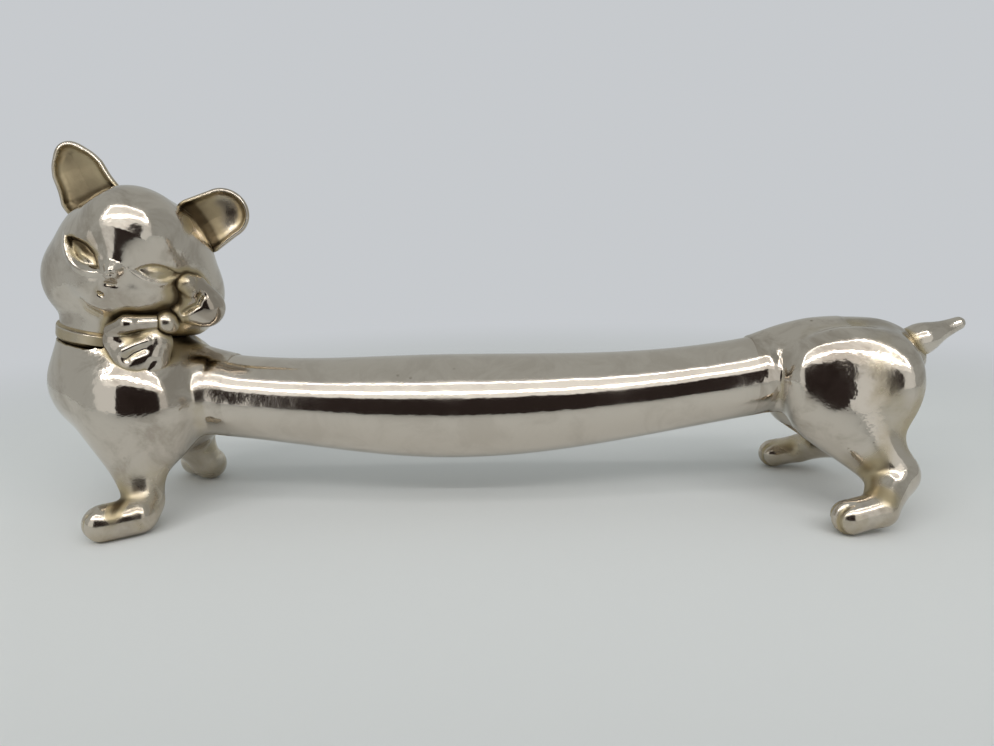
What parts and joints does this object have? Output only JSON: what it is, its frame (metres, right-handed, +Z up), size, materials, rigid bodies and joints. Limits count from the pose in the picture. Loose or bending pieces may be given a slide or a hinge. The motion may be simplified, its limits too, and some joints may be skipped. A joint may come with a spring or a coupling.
{
  "type": "knife rest",
  "caption": "Knife rest shaped as a cat in silver coloured metal, its body drawn out as a round bar that holds a knife off the table.",
  "frame": {"origin": "on the table, under the middle of the object's box", "axes": "+X along the bar from the head to the tail, -Y the way the face looks, +Z up"},
  "size_m": [0.0925, 0.0224, 0.037],
  "materials": {
    "cast_metal": "bright nickel plate over a casting, tarnished in the hollows",
    "bar_metal": "bright nickel plate, slightly wavy",
    "trim_metal": "bright nickel plate, yellow tarnish along the edges"
  },
  "bodies": {
    "root": {"bar": "bar_metal", "forequarters": "cast_metal", "hindquarters": "cast_metal", "head": "cast_metal", "ear_right": "cast_metal", "ear_left": "cast_metal", "collar": "trim_metal", "bow_knot": "trim_metal", "bow_lower_loop": "trim_metal", "bow_upper_loop": "trim_metal", "tail": "cast_metal"}
  },
  "joints": []
}
